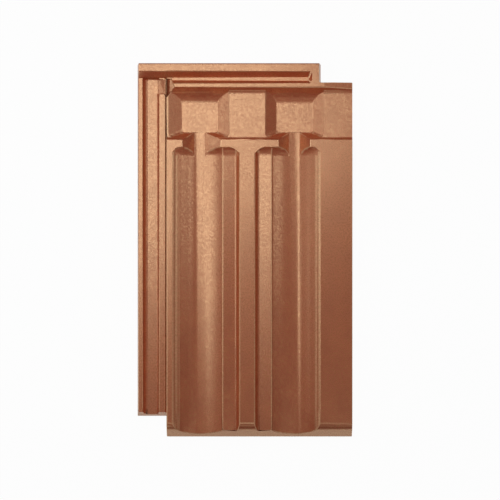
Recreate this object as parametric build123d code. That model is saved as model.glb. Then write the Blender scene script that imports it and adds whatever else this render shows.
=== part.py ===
from build123d import *
from math import cos, radians, sin
import os

# Overall size of the tile in millimetres, lying flat with its face up
tile_width = 280.0
tile_length = 486.0
field_top = 42.0

# Levels of the face, given as depths below the flat field
plateau_rise = 2.5
platform_drop = 4.0
head_groove_drop = 7.0
recess_drop = 12.7
valley_drop = 13.5
side_rim_drop = 9.5
side_rib_drop = 10.0
side_gutter_drop = 12.0
side_groove_drop = 18.0
side_lock_under_drop = 26.5
flap_under_drop = 9.0
flap_rib_drop = 16.5
flap_wall_drop = 22.0
trough_under_drop = 25.5
head_under_drop = 18.5
low_drop = 19.0

# Positions across the tile, measured from its centre line
left_edge = -tile_width / 2
right_edge = tile_width / 2
body_left = -101.5
ridge_axis = 3.25
ridge_half = 9.65
groove_end = 87.5
head_end_top = 96.5
head_end_base = 101.7

# Positions along the tile, head at positive Y
head_edge = tile_length / 2
foot_edge = -tile_length / 2
rim_inner = 232.8
groove_north = 225.3
groove_south = 220.6
rib_north = 218.0
rib_south = 212.0
platform_north = 207.3
recess_south = 153.2
recess_north = 200.4
step_line = 144.2
trough_head = 134.2
head_scoop = 12.0
side_lock_foot = -216.6

# Rounded lower edge of the face
nose_radius = 13.0
nose_angle = 56.7
nose_start = -223.3

# Rounding and clearance
small_radius = 1.6
floor_radius = 5.0
platform_radius = 7.0
recess_radius = 20.0
beyond = 6.0

# Underside
skirt_back = -230.0
lock_rib_centre = -164.0
nib_face = 200.0
nib_length = 16.0
nib_width = 36.0
nib_spread = 60.0


def level(drop):
    """Height above the floor of a level given as a depth below the field."""
    return field_top - drop


plateau_top = level(-plateau_rise)


def prism_y(outline, start, end):
    """Solid with an outline in X and Z, drawn out along Y."""
    face = Plane.XZ * make_face(outline)
    return Pos(0, start, 0) * extrude(face, amount=end - start, dir=(0, 1, 0))


def prism_x(outline, start, end):
    """Solid with an outline in Y and Z, drawn out along X."""
    face = Plane.YZ * make_face(outline)
    return Pos(start, 0, 0) * extrude(face, amount=end - start, dir=(1, 0, 0))


def closed(*points):
    """Closed outline through the points."""
    return Polyline(*points, close=True)


def rounded(*corners):
    """Closed outline with a radius at each corner, given as (across, up, radius)."""
    count = len(corners)
    runs = []
    for index, (across, up, radius) in enumerate(corners):
        here = Vector(across, up)
        before = Vector(*corners[index - 1][:2])
        after = Vector(*corners[(index + 1) % count][:2])
        back = (before - here).normalized()
        ahead = (after - here).normalized()
        half = radians(back.get_angle(ahead)) / 2
        reach = radius / (sin(half) / cos(half))
        middle = here + (back + ahead).normalized() * (radius / sin(half) - radius)
        runs.append((here + back * reach, middle, here + ahead * reach, radius))
    pieces = []
    for index, (start, middle, end, radius) in enumerate(runs):
        if radius > 0:
            pieces.append(ThreePointArc(start, middle, end))
        pieces.append(Line(end, runs[(index + 1) % count][0]))
    return Curve() + pieces


def rectangle_at(x_low, x_high, y_low, y_high, height, radius):
    """Round-cornered rectangle lying level at a height."""
    centre = Pos((x_low + x_high) / 2, (y_low + y_high) / 2, height)
    return centre * RectangleRounded(x_high - x_low, y_high - y_low, radius)


def tapered(lower, upper):
    """Pocket with sloping walls between two level outlines."""
    return loft([lower, upper], ruled=True)


def softened(pocket, radius):
    """Pocket with its lowest edges rounded."""
    base = pocket.faces().sort_by(Axis.Z)[0]
    return fillet(base.edges(), radius)


# Trough section, as distance from the edge of the ridge and depth below the field
ridge_lip = [(-1.4, -0.08), (0.05, 0.26), (1.0, 1.14)]
ridge_wall = [(1.0, 1.14), (3.2, 5.28)]
wall_foot = [(3.2, 5.28), (4.6, 6.7), (6.6, 7.13)]
shelf = [(6.6, 7.13), (22.2, 5.6)]
crease = [(22.2, 5.6), (23.6, 7.1)]
bowl = [(23.6, 7.1), (33.9, 10.5), (44.9, 12.6)]
valley = [(44.9, 12.6), (54.6, valley_drop), (59.0, 12.8)]
bowl_floor = [(59.0, 12.8), (64.9, 11.5), (70.9, 10.1)]
outer_wall = [(70.9, 10.1), (77.6, 7.1), (83.2, 2.1)]
outer_lip = [(83.2, 2.1), (84.9, 0.68), (87.6, -0.08)]
arcs = (ridge_lip, wall_foot, bowl, bowl_floor, outer_wall, outer_lip)
straights = (ridge_wall, shelf, crease, valley)
outer_line = 86.2
trough_spans = {-1: 87.4, 1: 85.1}
notch_reaches = {-1: 24.6, 1: 31.2}
notch_outer = 73.3


def trough_point(side, point):
    """Place a section point: distance from the ridge edge and depth."""
    across, drop = point
    if across > bowl_floor[0][0]:
        across += trough_spans[side] - outer_line
    return (ridge_axis + side * (ridge_half + across), level(drop))


def trough_section(side, along, share=1.0):
    """Section of one trough across Y, open above the field, at a share of its depth."""

    def placed(point):
        across, up = trough_point(side, point)
        return (across, along, field_top + (up - field_top) * share)

    pieces = [ThreePointArc(*[placed(point) for point in run]) for run in arcs]
    pieces += [Polyline(*[placed(point) for point in run]) for run in straights]
    inner = placed(ridge_lip[0])
    outer = placed(outer_lip[-1])
    top = field_top + beyond
    pieces.append(Polyline(outer, (outer[0], along, top), (inner[0], along, top), inner))
    return make_face(Curve() + pieces)


def head_plan(side):
    """Plan of one trough: long sides and an arched head."""
    inner = trough_point(side, (-1.5, 0))[0]
    outer = trough_point(side, (88.0, 0))[0]
    inner_turn = inner + side * 24
    outer_turn = outer - side * 13
    foot = foot_edge - 2 * beyond
    head = Polyline((inner_turn, trough_head), (outer_turn, trough_head))
    inner_mid = (inner + side * 7, trough_head - 3.6)
    outer_mid = (outer - side * 3.6, trough_head - 4)
    inner_arc = ThreePointArc((inner, trough_head - 11.5), inner_mid, (inner_turn, trough_head))
    outer_arc = ThreePointArc((outer_turn, trough_head), outer_mid, (outer, trough_head - 12))
    sides = Polyline((outer, trough_head - 12), (outer, foot), (inner, foot), (inner, trough_head - 11.5))
    return make_face(Curve() + [head, inner_arc, outer_arc, sides])


def trough_tool(side):
    """Space of one trough, hollowed out of the face in a curve at its head."""
    scoop_start = trough_head - head_scoop
    stations = []
    for angle in (90, 75, 60, 45, 30, 18, 8):
        along = trough_head - head_scoop * (1 - cos(radians(angle)))
        stations.append(trough_section(side, along, sin(radians(angle))))
    run = extrude(stations[0], amount=scoop_start - foot_edge + beyond, dir=(0, -1, 0))
    scoop = loft(stations, ruled=True)
    plan = extrude(head_plan(side), amount=field_top + 2 * beyond, dir=(0, 0, 1))
    return (run + scoop) & plan


def notch_tool(side):
    """Notch that drains a recess into the trough below it."""
    ends = [(notch_reaches[side], 0.0), (notch_outer, 0.0)]
    low = [trough_point(side, point) for point in valley]
    inner, outer = [trough_point(side, point) for point in ends]
    top = field_top + beyond
    outline = closed(inner, *low, outer, (outer[0], top), (inner[0], top))
    return prism_y(outline, trough_head - head_scoop, recess_south + 1)


# Block of the body, seen from the side
nose_turn = nose_start - nose_radius * sin(radians(nose_angle))
nose_turn_z = level(nose_radius * (1 - cos(radians(nose_angle))))
nose_half = radians(nose_angle) / 2
nose_mid = (nose_start - nose_radius * sin(nose_half), level(nose_radius * (1 - cos(nose_half))))
nose_base_z = nose_turn_z - (nose_turn - foot_edge) * sin(radians(nose_angle)) / cos(radians(nose_angle))


def body_outline(back, top_edge):
    """Side view of the body with its rounded foot, step and head rib."""
    block = rounded(
        (foot_edge, 0, 0),
        (back, 0, 0),
        (back, top_edge, small_radius),
        (rib_south, top_edge, small_radius),
        (platform_north, level(platform_drop), platform_radius),
        (step_line + 2.6, level(platform_drop), small_radius),
        (step_line, field_top, small_radius),
        (foot_edge, field_top, 0),
    )
    return block


nose_cut = Curve() + [
    ThreePointArc((nose_start, field_top), nose_mid, (nose_turn, nose_turn_z)),
    Polyline(
        (nose_turn, nose_turn_z),
        (foot_edge, nose_base_z),
        (foot_edge - 1, nose_base_z),
        (foot_edge - 1, field_top + 1),
        (nose_start, field_top + 1),
        (nose_start, field_top),
    ),
]

body = prism_x(body_outline(head_edge, plateau_top), body_left, head_end_base)
body += prism_x(body_outline(rib_north, plateau_top), head_end_base - 5, right_edge)
body -= prism_x(nose_cut, left_edge, right_edge + 1)

# Sloping end of the head rim beside the corner notch
end_slope = closed(
    (head_end_top, plateau_top + 1),
    (head_end_base, -1),
    (head_end_base + 10, -1),
    (head_end_base + 10, plateau_top + 1),
)
body -= prism_y(end_slope, rib_north, head_edge + 1)

# Rib beyond the head rim falls towards the cover flap edge
fall = closed(
    (head_end_base + 2, plateau_top),
    (right_edge + 1, level(0.8)),
    (right_edge + 1, plateau_top + 2),
    (head_end_base + 2, plateau_top + 2),
)
body -= prism_y(fall, step_line + 5, rib_north + 1)

# Rounded crest of the body along the side lock
crest = Curve() + [
    ThreePointArc((body_left, level(1.5)), (body_left + 0.44, level(0.44)), (body_left + 1.5, field_top)),
    Polyline(
        (body_left + 1.5, field_top),
        (body_left - 1, field_top),
        (body_left - 1, level(1.5)),
        (body_left, level(1.5)),
    ),
]
body -= prism_y(crest, foot_edge - 1, step_line - 1.5)

# Side lock: outer rim, groove, rib and a narrow gutter against the body
side_section = rounded(
    (left_edge, level(side_lock_under_drop), 0),
    (left_edge + 1.7, level(side_rim_drop), 1.0),
    (left_edge + 7.6, level(side_rim_drop), 1.0),
    (left_edge + 9.8, level(side_groove_drop), floor_radius),
    (left_edge + 27.0, level(side_groove_drop), small_radius),
    (left_edge + 28.3, level(side_rib_drop), 1.0),
    (left_edge + 36.6, level(side_rib_drop), 0.8),
    (left_edge + 37.2, level(side_gutter_drop), 0),
    (body_left + 3, level(side_gutter_drop), 0),
    (body_left + 3, level(side_lock_under_drop), 0),
)
side_lock = prism_y(side_section, side_lock_foot, rim_inner - 4)
foot_slope = closed(
    (side_lock_foot + 6.2, field_top + 1),
    (side_lock_foot + 6.2, level(side_rim_drop)),
    (side_lock_foot, level(side_lock_under_drop)),
    (side_lock_foot - 5, level(side_lock_under_drop)),
    (side_lock_foot - 5, field_top + 1),
)
side_lock -= prism_x(foot_slope, left_edge - 1, body_left)

# Left end of the head rim, standing over the side groove
rim_foot = 221.6
rim_section = rounded(
    (head_edge, level(side_lock_under_drop), 0),
    (head_edge, plateau_top, small_radius),
    (rim_inner, plateau_top, small_radius),
    (groove_north, level(head_groove_drop), floor_radius),
    (rim_foot, level(low_drop), 0),
    (rim_foot, level(side_lock_under_drop), 0),
)
head_rim = prism_x(rim_section, left_edge, body_left + 1)
rim_draft = closed(
    (left_edge - 1, -1),
    (left_edge, level(side_lock_under_drop)),
    (left_edge + 1.7, level(side_rim_drop)),
    (left_edge + 2.6, plateau_top + 1),
    (left_edge - 1, plateau_top + 1),
)
head_rim -= prism_y(rim_draft, rim_inner - 20, head_edge + 1)

tile = body + side_lock + head_rim

# Head groove with its closed right end
groove_left = -106.0
groove_top = rectangle_at(groove_left, groove_end, groove_south - 3.7, rim_inner, plateau_top, 2.4)
groove_floor = level(head_groove_drop)
groove_base = rectangle_at(groove_left, groove_end - 3.5, groove_south, groove_north, groove_floor, 1.4)
tile -= tapered(groove_base, groove_top)

# Ramp from the head groove down into the side groove
ramp_right = -86.0
ramp_side = closed(
    (left_edge + 14, level(side_groove_drop)),
    (left_edge + 27, level(side_groove_drop)),
    (ramp_right - 7, level(head_groove_drop)),
    (ramp_right, level(head_groove_drop)),
    (ramp_right, plateau_top + 1),
    (left_edge + 14, plateau_top + 1),
)
ramp_plan = closed(
    (left_edge + 14, 204.0),
    (left_edge + 35, 204.0),
    (body_left, 199.0),
    (ramp_right - 5, 212.2),
    (ramp_right - 9, 223.0),
    (left_edge + 14, 223.0),
)
ramp_space = extrude(make_face(ramp_plan), amount=field_top + 10)
tile -= prism_y(ramp_side, 190, 230) & ramp_space

# Recesses below the head rib, their floors curving up towards it
recess_top = plateau_top + 0.2
recess_base = level(recess_drop)
recess_side = rounded(
    (step_line, recess_base, 0),
    (recess_north, recess_base, recess_radius),
    (rib_south, plateau_top, 0),
    (rib_south, recess_top, 0),
    (step_line, recess_top, 0),
)
recess_edges = [(-99.4, -19.6, -81.9, -34.5), (26.5, 103.7, 41.4, 89.4)]
for left_top, right_top, left_base, right_base in recess_edges:
    base = rectangle_at(left_base, right_base, recess_south, rib_south, level(recess_drop), 5.0)
    top = rectangle_at(left_top, right_top, step_line + 2.6, rib_south + 8, level(platform_drop), 5.0)
    high = rectangle_at(left_top - 1, right_top + 1, step_line + 2.6, rib_south + 9, recess_top, 5.0)
    pocket = softened(tapered(base, top), 2.4) + tapered(top, high)
    tile -= pocket & prism_x(recess_side, left_edge, right_edge)

# Troughs and the notches that drain the recesses into them
for side in (-1, 1):
    tile -= trough_tool(side)
    tile -= notch_tool(side)

# Blank place for a press mark
mark_place = Pos(3.1, 191.3, level(platform_drop + 0.6))
tile -= mark_place * extrude(SlotOverall(39.0, 10.4), amount=2)

# Underside, following the troughs at the thickness of the clay
hollow_run = [(84.0, trough_under_drop), (50.0, trough_under_drop), (38.0, 23.5)]
hollow_run += [(24.0, 18.5), (10.0, 18.0), (2.0, 12.0)]
flap_clear = 103.0
groove_pitch = 242.5
flap_rib = left_edge + 20.0 + groove_pitch
under_points = [
    (left_edge - 5, -1.0),
    (left_edge - 5, level(side_lock_under_drop)),
    (body_left, level(side_lock_under_drop)),
]
under_points += [trough_point(-1, point) for point in hollow_run]
under_points += [trough_point(1, point) for point in reversed(hollow_run)]
under_points += [
    (flap_clear - 2.5, level(flap_wall_drop)),
    (flap_clear - 0.6, level(flap_under_drop)),
    (flap_rib - 6.3, level(flap_under_drop)),
    (flap_rib - 4.0, level(flap_rib_drop)),
    (flap_rib + 4.0, level(flap_rib_drop)),
    (flap_rib + 6.3, level(flap_under_drop)),
    (right_edge + 5, level(flap_under_drop)),
    (right_edge + 5, -1.0),
]
hollow = prism_y(closed(*under_points), skirt_back, head_edge + 5)

# Clay left standing below: thicker head, lock rib, nibs
thick_head = Pos(0, rib_south + 40, level(head_under_drop) + 20) * Box(600, 90, 40)
hollow -= thick_head
rib_side = closed(
    (lock_rib_centre - 3.0, 0),
    (lock_rib_centre - 6.0, field_top - 4),
    (lock_rib_centre + 6.0, field_top - 4),
    (lock_rib_centre + 3.0, 0),
)
hollow -= prism_x(rib_side, -95.0, 84.0)
for side in (-1, 1):
    middle = ridge_axis + side * nib_spread
    nib_side = closed(
        (nib_face, 0),
        (nib_face, field_top - 6),
        (nib_face + nib_length + 4, field_top - 6),
        (nib_face + nib_length, 0),
    )
    hollow -= prism_x(nib_side, middle - nib_width / 2, middle + nib_width / 2)
tile -= hollow

tile = tile.solids().sort_by(SortBy.VOLUME)[-1]

os.makedirs("parts", exist_ok=True)
export_step(tile, "parts/roof_tile.step")
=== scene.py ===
import math

import bmesh
import bpy
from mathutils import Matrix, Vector


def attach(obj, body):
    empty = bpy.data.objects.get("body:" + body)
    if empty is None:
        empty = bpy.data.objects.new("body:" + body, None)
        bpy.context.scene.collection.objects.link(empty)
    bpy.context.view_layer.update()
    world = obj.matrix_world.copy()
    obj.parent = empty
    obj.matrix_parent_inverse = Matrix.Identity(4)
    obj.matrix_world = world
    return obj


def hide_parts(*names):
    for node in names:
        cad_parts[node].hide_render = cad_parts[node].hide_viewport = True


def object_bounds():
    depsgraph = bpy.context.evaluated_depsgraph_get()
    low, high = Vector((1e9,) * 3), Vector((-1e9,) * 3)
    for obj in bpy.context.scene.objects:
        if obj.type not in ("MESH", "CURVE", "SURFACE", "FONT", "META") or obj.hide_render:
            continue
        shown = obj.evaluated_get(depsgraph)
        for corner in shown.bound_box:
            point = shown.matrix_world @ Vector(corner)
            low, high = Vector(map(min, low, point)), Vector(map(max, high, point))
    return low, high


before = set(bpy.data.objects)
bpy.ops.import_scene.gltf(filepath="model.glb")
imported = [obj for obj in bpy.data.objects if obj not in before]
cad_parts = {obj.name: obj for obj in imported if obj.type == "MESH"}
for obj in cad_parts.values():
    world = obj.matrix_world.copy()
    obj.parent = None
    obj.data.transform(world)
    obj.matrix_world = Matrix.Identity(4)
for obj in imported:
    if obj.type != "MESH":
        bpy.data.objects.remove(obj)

bl_info = {
    "name": "Clay roof tile",
    "version": (1, 0, 0),
    "blender": (4, 5, 0),
    "location": "3D View > Sidebar > Roof Tile",
    "description": "Finishes the pressed clay tile with its copper engobe and sets up the studio",
    "category": "Object",
}

CAD_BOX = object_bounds()
TILE_NODE = "roof_tile"
BODY_NAME = "root"
TILE_CENTRE = (CAD_BOX[0] + CAD_BOX[1]) / 2

# The photograph's frame: millimetres of tile to a pixel, and where the tile's centre falls in it
FRAME_PIXELS = 500
METRES_PER_PIXEL = 0.0012975
CENTRE_COLUMN = 244.6
CENTRE_ROW = 250.4

# Edges that the press rounds, lengths in metres
# Mask of the convex edges that are painted paler: partly rubbed-thin engobe, partly a painted highlight
# along the edges
EDGE_WEAR_HIGHLIGHT_MASK = "edge_wear_and_highlight"
SHARP_ANGLE = math.radians(22)
SHORTEST_EDGE = 0.0011
ROUNDING_SEGMENTS = 3
FLAT_ANGLE = math.radians(0.5)
SMOOTH_ANGLE = math.radians(30)
LEAST_LENGTH = 1e-6
LEAST_WIDTH = 1e-5

# Bend of a surface, in radians to the metre, where the paler edge begins and where it is full; the paler
# edge is partly rubbed-thin engobe and partly a painted highlight
SOFT_BEND = 110.0
HARD_BEND = 260.0
WIDEST_WORN_HIGHLIGHT_FACE = 0.0022

# Engobe: noise cells to the metre, and how the grain and the paler edges show; the paler edges are partly
# rubbed-thin engobe and partly a painted highlight
FLAKE_SCALE = 1500.0
SAND_SCALE = 430.0
CLOUD_SCALE = 38.0
WEAR_HIGHLIGHT_SCALE = 210.0
WORN_HIGHLIGHT_FLAKES = 0.12
ROUGHNESS_SPREAD = 0.06
BARE_ROUGHNESS = 0.85
BUMP_STRENGTH = 0.5
BUMP_DISTANCE = 0.00012

# Studio, in metres: the floor, and each lamp's place and size
FLOOR_SIZE = 12.0
FLOOR_GREY = 0.82
FLOOR_ROUGHNESS = 0.9
FLOOR_WHITE = 0.97
KEY_TURN = math.radians(33.0)
KEY_ALONG = -0.11
KEY_BESIDE = 0.27
KEY_HEIGHT = 0.9
KEY_SIZE = (0.78, 0.45)
RIGHT_PLACE = (0.69, 0.40, 0.9)
RIGHT_SIZE = (0.36, 0.8)
LEFT_PLACE = (-1.35, 0.55, 0.85)
LEFT_SIZE = (1.2, 0.50)
FOOT_PLACE = (0.30, -0.55, 0.9)
FOOT_SIZE = (0.5, 0.5)

# The troughs, in metres: ridge between them, and the pressed outer wall as distance and depth
FIELD_TOP = 0.042
RIDGE_AXIS = 0.00325
RIDGE_HALF = 0.00965
TROUGH_SHIFT = {-1: 0.0012, 1: -0.0011}
HEAD_LINE = 0.1342
SCOOP_LENGTH = 0.012
SCOOP_START = HEAD_LINE - SCOOP_LENGTH
FADE_LINE = -0.205
FADE_MARGIN = 0.001
LEVEL_ENOUGH = 0.1
LEAST_DROP = 0.0002
WALL_TOLERANCE = 0.0004
OUTER_WALL = (
    (0.0600, 0.01262), (0.0649, 0.0115), (0.0679, 0.01085), (0.0709, 0.0101),
    (0.0743, 0.00875), (0.0776, 0.0071), (0.0805, 0.0049), (0.0832, 0.0021),
)


class TileFinishSettings(bpy.types.PropertyGroup):
    """Finish of the pressed and fired body."""

    edge_radius: bpy.props.FloatProperty(
        name="Edge radius", description="Rounding that the press leaves on an outer edge",
        default=0.0009, min=0.0, unit="LENGTH",
    )
    root_radius: bpy.props.FloatProperty(
        name="Root radius", description="Rounding that the press leaves in an inner corner",
        default=0.0009, min=0.0, unit="LENGTH",
    )
    weld_distance: bpy.props.FloatProperty(
        name="Weld distance", description="Corners nearer than this are joined",
        default=0.00002, min=0.0, unit="LENGTH",
    )
    clay_colour: bpy.props.FloatVectorProperty(
        name="Red clay", description="Deep red-brown of the coloured clay between the flakes",
        default=(0.52, 0.078, 0.033), size=3, min=0.0, max=1.0, subtype="COLOR",
    )
    clay_dark: bpy.props.FloatVectorProperty(
        name="Dark clay", description="Darker red-brown of the clouds in the coat",
        default=(0.44, 0.060, 0.025), size=3, min=0.0, max=1.0, subtype="COLOR",
    )
    flake_colour: bpy.props.FloatVectorProperty(
        name="Mica flake", description="Tan colour of the flakes in the engobe",
        default=(0.78, 0.30, 0.13), size=3, min=0.0, max=1.0, subtype="COLOR",
    )
    sheen_colour: bpy.props.FloatVectorProperty(
        name="Mica sheen", description="Tint of the light that the engobe reflects",
        default=(1.0, 0.69, 0.40), size=3, min=0.0, max=1.0, subtype="COLOR",
    )
    sheen_index: bpy.props.FloatProperty(
        name="Sheen strength", description="Refractive index of the engobe with its mica",
        default=2.9, min=1.0, max=4.0,
    )
    flake_share: bpy.props.FloatProperty(
        name="Flake share", description="Part of the surface that the flakes cover",
        default=0.20, min=0.0, max=1.0, subtype="FACTOR",
    )
    # Paler edges: partly rubbed-thin engobe, partly a painted highlight along the convex edges
    worn_highlight_colour: bpy.props.FloatVectorProperty(
        name="Worn edge and highlight", description="Pale tan of the edges, partly where the engobe is rubbed thin, partly as a painted highlight",
        default=(0.95, 0.50, 0.27), size=3, min=0.0, max=1.0, subtype="COLOR",
    )
    bare_colour: bpy.props.FloatVectorProperty(
        name="Bare clay", description="Colour of the uncoated underside",
        default=(0.43, 0.15, 0.075), size=3, min=0.0, max=1.0, subtype="COLOR",
    )
    sheen_roughness: bpy.props.FloatProperty(
        name="Sheen roughness", description="How far the engobe spreads a reflection",
        default=0.27, min=0.0, max=1.0, subtype="FACTOR",
    )


class StudioSettings(bpy.types.PropertyGroup):
    """Camera, lamps and floor."""

    lens: bpy.props.FloatProperty(
        name="Lens", description="Focal length in millimetres", default=200.0, min=10.0,
    )
    sensor: bpy.props.FloatProperty(
        name="Sensor", description="Sensor width in millimetres", default=36.0, min=1.0,
    )
    key_level: bpy.props.FloatProperty(
        name="Key lamp", description="Brightness of the soft lamp over the head", default=2.5, min=0.0,
    )
    side_level: bpy.props.FloatProperty(
        name="Right lamp", description="Brightness of the soft lamp on the right", default=1.8, min=0.0,
    )
    rim_level: bpy.props.FloatProperty(
        name="Left lamp", description="Brightness of the low lamp on the left", default=1.7, min=0.0,
    )
    foot_level: bpy.props.FloatProperty(
        name="Foot lamp", description="Brightness of the weak lamp beyond the foot", default=0.35, min=0.0,
    )
    sky_level: bpy.props.FloatProperty(
        name="Sky", description="Brightness of the even light all round", default=0.09, min=0.0,
    )


def deselect_all():
    """Leave nothing selected before an operator runs."""
    if bpy.context.object and bpy.context.object.mode != "OBJECT":
        bpy.ops.object.mode_set(mode="OBJECT")
    bpy.ops.object.select_all(action="DESELECT")


def only(piece):
    """Select one piece and make it active."""
    deselect_all()
    piece.select_set(True)
    bpy.context.view_layer.objects.active = piece


def interpolate(points, place):
    """Value at a place between points given as place and value."""
    for (low, first), (high, second) in zip(points, points[1:]):
        if place <= high:
            return first + (second - first) * (place - low) / (high - low)
    return points[-1][1]


def group_with(name, inputs, outputs):
    """New shader node group with float, vector or colour sockets."""
    group = bpy.data.node_groups.new(name, "ShaderNodeTree")
    for label, kind, default in inputs:
        socket = group.interface.new_socket(name=label, in_out="INPUT", socket_type=kind)
        if default is not None:
            socket.default_value = default
    for label, kind in outputs:
        group.interface.new_socket(name=label, in_out="OUTPUT", socket_type=kind)
    return group


def add_node(tree, kind, x, y, **values):
    """Node at a place in the tree, with its properties set."""
    node = tree.nodes.new(kind)
    node.location = (x, y)
    for key, value in values.items():
        setattr(node, key, value)
    return node


def noise(tree, vector, scale, detail, roughness, x, y):
    """Noise texture reading the given coordinates."""
    node = add_node(tree, "ShaderNodeTexNoise", x, y)
    node.inputs["Scale"].default_value = scale
    node.inputs["Detail"].default_value = detail
    node.inputs["Roughness"].default_value = roughness
    tree.links.new(vector, node.inputs["Vector"])
    return node


def remap(tree, value, low, high, to_low, to_high, x, y):
    """Map a range of values to another and clamp it."""
    node = add_node(tree, "ShaderNodeMapRange", x, y)
    node.inputs["From Min"].default_value = low
    node.inputs["From Max"].default_value = high
    node.inputs["To Min"].default_value = to_low
    node.inputs["To Max"].default_value = to_high
    tree.links.new(value, node.inputs["Value"])
    return node.outputs["Result"]


def colour_sockets(node):
    """The colour inputs of a Mix node, past its float and vector ones."""
    return [socket for socket in node.inputs if socket.type == "RGBA"]


def sand_grain_group():
    """Fine sandy grain, cloudy mottle and mica flakes of an engobe."""
    group = group_with(
        "Sand grain",
        [("Vector", "NodeSocketVector", None), ("Flake share", "NodeSocketFloat", 0.4)],
        [("Flake", "NodeSocketFloat"), ("Mottle", "NodeSocketFloat"), ("Height", "NodeSocketFloat")],
    )
    start = add_node(group, "NodeGroupInput", -1000, 0)
    end = add_node(group, "NodeGroupOutput", 700, 0)
    links = group.links
    place = start.outputs["Vector"]
    fine = noise(group, place, FLAKE_SCALE, 2.0, 0.6, -700, 300)
    sand = noise(group, place, SAND_SCALE, 3.0, 0.7, -700, 0)
    cloud = noise(group, place, CLOUD_SCALE, 6.0, 0.66, -700, -300)
    mottle = remap(group, cloud.outputs["Fac"], 0.34, 0.68, 0.0, 1.0, -450, -300)
    patch = remap(group, cloud.outputs["Fac"], 0.34, 0.68, -0.10, 0.10, -450, -120)
    flake = remap(group, fine.outputs["Fac"], 0.36, 0.64, -0.22, 0.22, -450, 300)
    grit = remap(group, sand.outputs["Fac"], 0.36, 0.64, -0.45, 0.45, -450, 120)
    total = add_node(group, "ShaderNodeMath", -200, 200, operation="ADD")
    links.new(flake, total.inputs[0])
    links.new(grit, total.inputs[1])
    spread = add_node(group, "ShaderNodeMath", 0, 150, operation="ADD")
    links.new(total.outputs[0], spread.inputs[0])
    links.new(patch, spread.inputs[1])
    covered = add_node(group, "ShaderNodeMath", 200, 150, operation="ADD", use_clamp=True)
    links.new(spread.outputs[0], covered.inputs[0])
    links.new(start.outputs["Flake share"], covered.inputs[1])
    rise = add_node(group, "ShaderNodeMath", 0, -100, operation="MULTIPLY_ADD")
    rise.inputs[1].default_value = 0.35
    links.new(fine.outputs["Fac"], rise.inputs[0])
    links.new(sand.outputs["Fac"], rise.inputs[2])
    links.new(covered.outputs[0], end.inputs["Flake"])
    links.new(mottle, end.inputs["Mottle"])
    links.new(rise.outputs[0], end.inputs["Height"])
    return group


def worn_edge_highlight_group():
    """Mask of the convex edges, broken up by noise, that makes them paler: partly rubbed-thin engobe,
    partly a painted highlight along the edges.
    """
    group = group_with(
        "Worn edge and highlight",
        [("Vector", "NodeSocketVector", None), ("Edge", "NodeSocketFloat", 0.0)],
        [("Wear and highlight", "NodeSocketFloat")],
    )
    start = add_node(group, "NodeGroupInput", -600, 0)
    end = add_node(group, "NodeGroupOutput", 400, 0)
    breakup = noise(group, start.outputs["Vector"], WEAR_HIGHLIGHT_SCALE, 4.0, 0.65, -400, 100)
    patchy = remap(group, breakup.outputs["Fac"], 0.28, 0.56, 0.60, 1.0, -200, 100)
    both = add_node(group, "ShaderNodeMath", 100, 0, operation="MULTIPLY")
    group.links.new(start.outputs["Edge"], both.inputs[0])
    group.links.new(patchy, both.inputs[1])
    group.links.new(both.outputs[0], end.inputs["Wear and highlight"])
    return group


def rgba(colour):
    """Four-part colour from three."""
    return (colour[0], colour[1], colour[2], 1.0)


def blend_colour(tree, factor, first, second, x, y):
    """Mix two colours by a mask, each a socket or a plain colour."""
    node = add_node(tree, "ShaderNodeMix", x, y, data_type="RGBA")
    tree.links.new(factor, node.inputs["Factor"])
    for socket, value in zip(colour_sockets(node), (first, second)):
        if isinstance(value, bpy.types.NodeSocket):
            tree.links.new(value, socket)
        else:
            socket.default_value = value
    return node.outputs[2]


def blend_value(tree, factor, first, second, x, y):
    """Mix two plain numbers or sockets by a mask."""
    node = add_node(tree, "ShaderNodeMix", x, y, data_type="FLOAT")
    tree.links.new(factor, node.inputs["Factor"])
    for name, value in (("A", first), ("B", second)):
        if isinstance(value, bpy.types.NodeSocket):
            tree.links.new(value, node.inputs[name])
        else:
            node.inputs[name].default_value = value
    return node.outputs["Result"]


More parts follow.
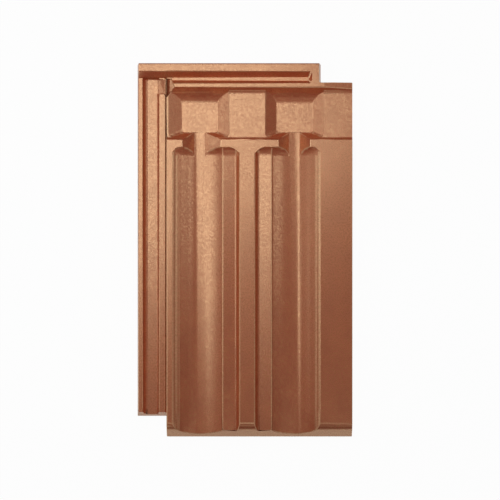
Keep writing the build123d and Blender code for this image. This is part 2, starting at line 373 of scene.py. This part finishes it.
def engobe_material(finish):
    """Copper engobe with mica flakes over red clay, bare on the underside, with paler convex edges that
    are partly rubbed-thin engobe and partly a painted highlight.
    """
    material = bpy.data.materials.new("copper engobe")
    material.use_nodes = True
    tree = material.node_tree
    links = tree.links
    shader = tree.nodes["Principled BSDF"]
    place = add_node(tree, "ShaderNodeTexCoord", -1700, 0)
    edge = add_node(tree, "ShaderNodeAttribute", -1700, -300, attribute_name=EDGE_WEAR_HIGHLIGHT_MASK)
    grain = add_node(tree, "ShaderNodeGroup", -1400, 200, node_tree=sand_grain_group())
    links.new(place.outputs["Object"], grain.inputs["Vector"])
    grain.inputs["Flake share"].default_value = finish.flake_share
    # Convex-edge mask for the paler edges, partly rubbed-thin engobe and partly a painted highlight
    worn_highlight = add_node(tree, "ShaderNodeGroup", -1400, -200, node_tree=worn_edge_highlight_group())
    links.new(place.outputs["Object"], worn_highlight.inputs["Vector"])
    links.new(edge.outputs["Fac"], worn_highlight.inputs["Edge"])

    shape = add_node(tree, "ShaderNodeNewGeometry", -1400, -600)
    split = add_node(tree, "ShaderNodeSeparateXYZ", -1200, -600)
    links.new(shape.outputs["Normal"], split.inputs[0])
    under = remap(tree, split.outputs["Z"], -0.35, -0.05, 1.0, 0.0, -1000, -600)

    dark, red = rgba(finish.clay_dark), rgba(finish.clay_colour)
    clay = blend_colour(tree, grain.outputs["Mottle"], dark, red, -1000, 500)
    # Convex edges get extra flakes and the pale edge colour, partly rubbed-thin engobe and partly a
    # painted highlight along the edges
    flake = add_node(tree, "ShaderNodeMath", -1000, 200, operation="MULTIPLY_ADD", use_clamp=True)
    links.new(worn_highlight.outputs["Wear and highlight"], flake.inputs[0])
    flake.inputs[1].default_value = WORN_HIGHLIGHT_FLAKES
    links.new(grain.outputs["Flake"], flake.inputs[2])
    coat = blend_colour(tree, flake.outputs[0], clay, rgba(finish.flake_colour), -850, 400)
    coat = blend_colour(tree, worn_highlight.outputs["Wear and highlight"], coat, rgba(finish.worn_highlight_colour), -650, 400)
    colour = blend_colour(tree, under, coat, rgba(finish.bare_colour), -400, 300)
    links.new(colour, shader.inputs["Base Color"])
    dull = finish.sheen_roughness + ROUGHNESS_SPREAD
    bright = finish.sheen_roughness - ROUGHNESS_SPREAD
    rough = remap(tree, grain.outputs["Flake"], 0.0, 0.6, dull, bright, -700, -50)
    rough = blend_value(tree, under, rough, BARE_ROUGHNESS, -400, -100)
    links.new(rough, shader.inputs["Roughness"])

    shader.inputs["IOR"].default_value = finish.sheen_index
    shader.inputs["Specular Tint"].default_value = rgba(finish.sheen_colour)
    bump = add_node(tree, "ShaderNodeBump", -400, -350)
    bump.inputs["Strength"].default_value = BUMP_STRENGTH
    bump.inputs["Distance"].default_value = BUMP_DISTANCE
    links.new(grain.outputs["Height"], bump.inputs["Height"])
    links.new(bump.outputs["Normal"], shader.inputs["Normal"])
    return material


def camera_white(tree, plain, strength, x, y):
    """Mix a plain shader with white for what the camera and reflections see."""
    path = add_node(tree, "ShaderNodeLightPath", x - 600, y + 300)
    mirrored = add_node(tree, "ShaderNodeMath", x - 500, y + 300, operation="ADD", use_clamp=True)
    tree.links.new(path.outputs["Is Glossy Ray"], mirrored.inputs[0])
    tree.links.new(path.outputs["Is Transmission Ray"], mirrored.inputs[1])
    seen = add_node(tree, "ShaderNodeMath", x - 350, y + 300, operation="ADD", use_clamp=True)
    tree.links.new(path.outputs["Is Camera Ray"], seen.inputs[0])
    tree.links.new(mirrored.outputs[0], seen.inputs[1])
    share = add_node(tree, "ShaderNodeMath", x - 200, y + 300, operation="MULTIPLY")
    share.inputs[1].default_value = strength
    tree.links.new(seen.outputs[0], share.inputs[0])
    white = add_node(tree, "ShaderNodeEmission", x - 200, y - 150)
    white.inputs["Color"].default_value = (1.0, 1.0, 1.0, 1.0)
    both = add_node(tree, "ShaderNodeMixShader", x, y)
    tree.links.new(share.outputs[0], both.inputs["Fac"])
    tree.links.new(plain, both.inputs[1])
    tree.links.new(white.outputs[0], both.inputs[2])
    return both.outputs[0]


def floor_material():
    """Pale floor that the camera sees as nearly white, with the tile's shadow."""
    material = bpy.data.materials.new("studio floor")
    material.use_nodes = True
    tree = material.node_tree
    shader = tree.nodes["Principled BSDF"]
    shader.inputs["Base Color"].default_value = rgba((FLOOR_GREY,) * 3)
    shader.inputs["Roughness"].default_value = FLOOR_ROUGHNESS
    out = tree.nodes["Material Output"]
    seen = camera_white(tree, shader.outputs[0], FLOOR_WHITE, 200, 0)
    tree.links.new(seen, out.inputs["Surface"])
    return material


class TileOperator:
    """Settings shared by the operators."""

    bl_options = {"REGISTER", "UNDO"}

    @property
    def finish(self):
        """Finish of the tile, as set in the panel."""
        return bpy.context.scene.tile_finish

    @property
    def studio(self):
        """Camera, lamps and floor, as set in the panel."""
        return bpy.context.scene.tile_studio


class ROOFTILE_OT_pressed_body(TileOperator, bpy.types.Operator):
    """Copy the tile's solid, weld it, round its edges and coat it"""

    bl_idname = "rooftile.pressed_body"
    bl_label = "Pressed body"

    def select_edges(self, body, outward):
        """Select the sharp edges that stand out, or those that lie in a corner."""
        mesh = bmesh.from_edit_mesh(body.data)
        for part in (mesh.faces, mesh.edges, mesh.verts):
            for each in part:
                each.select = False
        found = False
        for edge in mesh.edges:
            if len(edge.link_faces) != 2 or edge.calc_length() < SHORTEST_EDGE:
                continue
            angle = edge.calc_face_angle_signed(0.0)
            if (angle > SHARP_ANGLE) if outward else (angle < -SHARP_ANGLE):
                edge.select = True
                found = True
        mesh.select_flush_mode()
        bmesh.update_edit_mesh(body.data)
        return found

    def steepen_outer_walls(self, body):
        """Raise the outer wall of each trough to the even slope that it has, fading out at the foot."""
        mesh = bmesh.from_edit_mesh(body.data)
        mesh.normal_update()
        for vertex in mesh.verts:
            place = vertex.co
            side = 1 if place.x > RIDGE_AXIS else -1
            across = abs(place.x - RIDGE_AXIS) - RIDGE_HALF - TROUGH_SHIFT[side]
            drop = FIELD_TOP - place.z
            if vertex.normal.z < LEVEL_ENOUGH or not OUTER_WALL[0][0] < across < OUTER_WALL[-1][0]:
                continue
            behind = max(0.0, place.y - SCOOP_START) / SCOOP_LENGTH
            share = math.sqrt(max(0.0, 1.0 - behind * behind))
            pressed = interpolate(OUTER_WALL, across)
            if place.y > HEAD_LINE or drop < LEAST_DROP:
                continue
            if abs(drop - pressed * share) > WALL_TOLERANCE:
                continue
            even = OUTER_WALL[0][1] + (OUTER_WALL[-1][1] - OUTER_WALL[0][1]) * (
                (across - OUTER_WALL[0][0]) / (OUTER_WALL[-1][0] - OUTER_WALL[0][0])
            )
            if place.y > FADE_LINE - FADE_MARGIN:
                vertex.co.z += (pressed - even) * share
        bmesh.update_edit_mesh(body.data)

    def mark_wear_and_highlight(self, body):
        """Give the outer edges and lips a mask that fades out on the flats beside them; it makes them
        paler, partly as rubbed-thin engobe and partly as a painted highlight.
        """
        mesh = bmesh.new()
        mesh.from_mesh(body.data)
        layer = mesh.verts.layers.float.new(EDGE_WEAR_HIGHLIGHT_MASK)
        for edge in mesh.edges:
            if len(edge.link_faces) != 2 or edge.calc_length() < LEAST_LENGTH:
                continue
            width = sum(face.calc_area() for face in edge.link_faces) / 2 / edge.calc_length()
            bend = edge.calc_face_angle_signed(0.0) / max(width, LEAST_WIDTH)
            wear_highlight = min(1.0, max(0.0, (bend - SOFT_BEND) / (HARD_BEND - SOFT_BEND)))
            for vertex in edge.verts:
                vertex[layer] = max(vertex[layer], wear_highlight)
        for face in mesh.faces:
            longest = max(edge.calc_length() for edge in face.edges)
            if face.calc_area() > WIDEST_WORN_HIGHLIGHT_FACE * longest:
                for vertex in face.verts:
                    vertex[layer] = 0.0
        mesh.to_mesh(body.data)
        mesh.free()

    def execute(self, context):
        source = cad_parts[TILE_NODE]
        only(source)
        bpy.ops.object.duplicate()
        body = context.view_layer.objects.active
        body.name = "pressed_tile"
        body.data.name = "pressed_tile"
        body.data.materials.clear()
        body.data.materials.append(engobe_material(self.finish))
        bpy.ops.object.mode_set(mode="EDIT")
        bpy.ops.mesh.select_mode(type="EDGE")
        bpy.ops.mesh.select_all(action="SELECT")
        bpy.ops.mesh.remove_doubles(threshold=self.finish.weld_distance)
        bpy.ops.mesh.dissolve_limited(angle_limit=FLAT_ANGLE)
        bpy.ops.mesh.select_all(action="SELECT")
        bpy.ops.mesh.bisect(plane_co=(0.0, FADE_LINE, 0.0), plane_no=(0.0, 1.0, 0.0))
        self.steepen_outer_walls(body)
        for outward, radius in ((False, self.finish.root_radius), (True, self.finish.edge_radius)):
            if self.select_edges(body, outward):
                bpy.ops.mesh.bevel(
                    offset=radius, segments=ROUNDING_SEGMENTS, affect="EDGES", clamp_overlap=False,
                )
        bpy.ops.mesh.select_all(action="SELECT")
        bpy.ops.mesh.remove_doubles(threshold=self.finish.weld_distance)
        bpy.ops.object.mode_set(mode="OBJECT")
        self.mark_wear_and_highlight(body)
        bpy.ops.object.shade_smooth_by_angle(angle=SMOOTH_ANGLE)
        weighted = body.modifiers.new("even shading", "WEIGHTED_NORMAL")
        weighted.keep_sharp = True
        weighted.weight = 100
        bpy.ops.object.modifier_apply(modifier=weighted.name)
        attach(body, BODY_NAME)
        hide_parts(TILE_NODE)
        return {"FINISHED"}


class ROOFTILE_OT_studio(TileOperator, bpy.types.Operator):
    """Pale floor, soft lamps and the camera above the tile"""

    bl_idname = "rooftile.studio"
    bl_label = "Studio"

    def add_floor(self):
        """Level floor that reaches past the picture on every side."""
        deselect_all()
        bpy.ops.mesh.primitive_plane_add(size=FLOOR_SIZE, location=(0.0, 0.0, 0.0))
        floor = bpy.context.object
        floor.name = "studio_floor"
        floor.data.materials.append(floor_material())

    def add_lamp(self, name, place, size, level, turn=0.0, aim=None):
        """Soft box of a size in metres, whose face is as bright as its level."""
        deselect_all()
        bpy.ops.object.light_add(type="AREA", location=place)
        lamp = bpy.context.object
        lamp.name = name
        lamp.data.shape = "RECTANGLE"
        lamp.data.size, lamp.data.size_y = size
        lamp.data.energy = level * math.pi * size[0] * size[1]
        lamp.visible_camera = False
        if aim is None:
            lamp.rotation_euler = (0.0, 0.0, turn)
        else:
            lamp.rotation_euler = (Vector(aim) - Vector(place)).to_track_quat("-Z", "Y").to_euler()
        return lamp

    def add_camera(self):
        """Camera straight above the tile, framed as in the photograph."""
        deselect_all()
        settings = self.studio
        width = FRAME_PIXELS * METRES_PER_PIXEL
        distance = settings.lens / settings.sensor * width
        across = TILE_CENTRE.x + (FRAME_PIXELS / 2 - CENTRE_COLUMN) * METRES_PER_PIXEL
        along = TILE_CENTRE.y - (FRAME_PIXELS / 2 - CENTRE_ROW) * METRES_PER_PIXEL
        place = (across, along, CAD_BOX[1].z + distance)
        bpy.ops.object.camera_add(location=place, rotation=(0.0, 0.0, 0.0))
        camera = bpy.context.object
        camera.name = "catalogue_camera"
        camera.data.lens = settings.lens
        camera.data.sensor_width = settings.sensor
        camera.data.clip_end = 100.0
        bpy.context.scene.camera = camera

    def add_sky(self):
        """Weak even light from all round."""
        world = bpy.data.worlds.new("studio sky")
        bpy.context.scene.world = world
        world.use_nodes = True
        tree = world.node_tree
        background = tree.nodes["Background"]
        background.inputs["Color"].default_value = (1.0, 1.0, 1.0, 1.0)
        background.inputs["Strength"].default_value = self.studio.sky_level

    def execute(self, context):
        self.add_floor()
        levels = self.studio
        along = Vector((math.cos(KEY_TURN), math.sin(KEY_TURN), 0.0))
        beside = Vector((-math.sin(KEY_TURN), math.cos(KEY_TURN), 0.0))
        key_place = along * KEY_ALONG + beside * KEY_BESIDE + Vector((0.0, 0.0, KEY_HEIGHT))
        self.add_lamp("key_lamp", key_place, KEY_SIZE, levels.key_level, turn=KEY_TURN)
        self.add_lamp("right_lamp", RIGHT_PLACE, RIGHT_SIZE, levels.side_level)
        self.add_lamp("left_lamp", LEFT_PLACE, LEFT_SIZE, levels.rim_level, aim=TILE_CENTRE)
        self.add_lamp("foot_lamp", FOOT_PLACE, FOOT_SIZE, levels.foot_level)
        self.add_camera()
        self.add_sky()
        context.scene.view_settings.view_transform = "Standard"
        return {"FINISHED"}


class ROOFTILE_PT_panel(bpy.types.Panel):
    """Buttons for the tile's pieces and the studio"""

    bl_idname = "ROOFTILE_PT_panel"
    bl_label = "Roof tile"
    bl_space_type = "VIEW_3D"
    bl_region_type = "UI"
    bl_category = "Roof Tile"

    def draw(self, context):
        column = self.layout.column()
        for name in TileFinishSettings.__annotations__:
            column.prop(context.scene.tile_finish, name)
        column.operator(ROOFTILE_OT_pressed_body.bl_idname)
        for name in StudioSettings.__annotations__:
            column.prop(context.scene.tile_studio, name)
        column.operator(ROOFTILE_OT_studio.bl_idname)


CLASSES = (
    TileFinishSettings,
    StudioSettings,
    ROOFTILE_OT_pressed_body,
    ROOFTILE_OT_studio,
    ROOFTILE_PT_panel,
)


def register():
    for each in CLASSES:
        bpy.utils.register_class(each)
    bpy.types.Scene.tile_finish = bpy.props.PointerProperty(type=TileFinishSettings)
    bpy.types.Scene.tile_studio = bpy.props.PointerProperty(type=StudioSettings)


def unregister():
    del bpy.types.Scene.tile_studio
    del bpy.types.Scene.tile_finish
    for each in reversed(CLASSES):
        bpy.utils.unregister_class(each)


def main():
    register()
    bpy.ops.rooftile.studio()
    bpy.ops.rooftile.pressed_body()


if __name__ == "__main__":
    main()
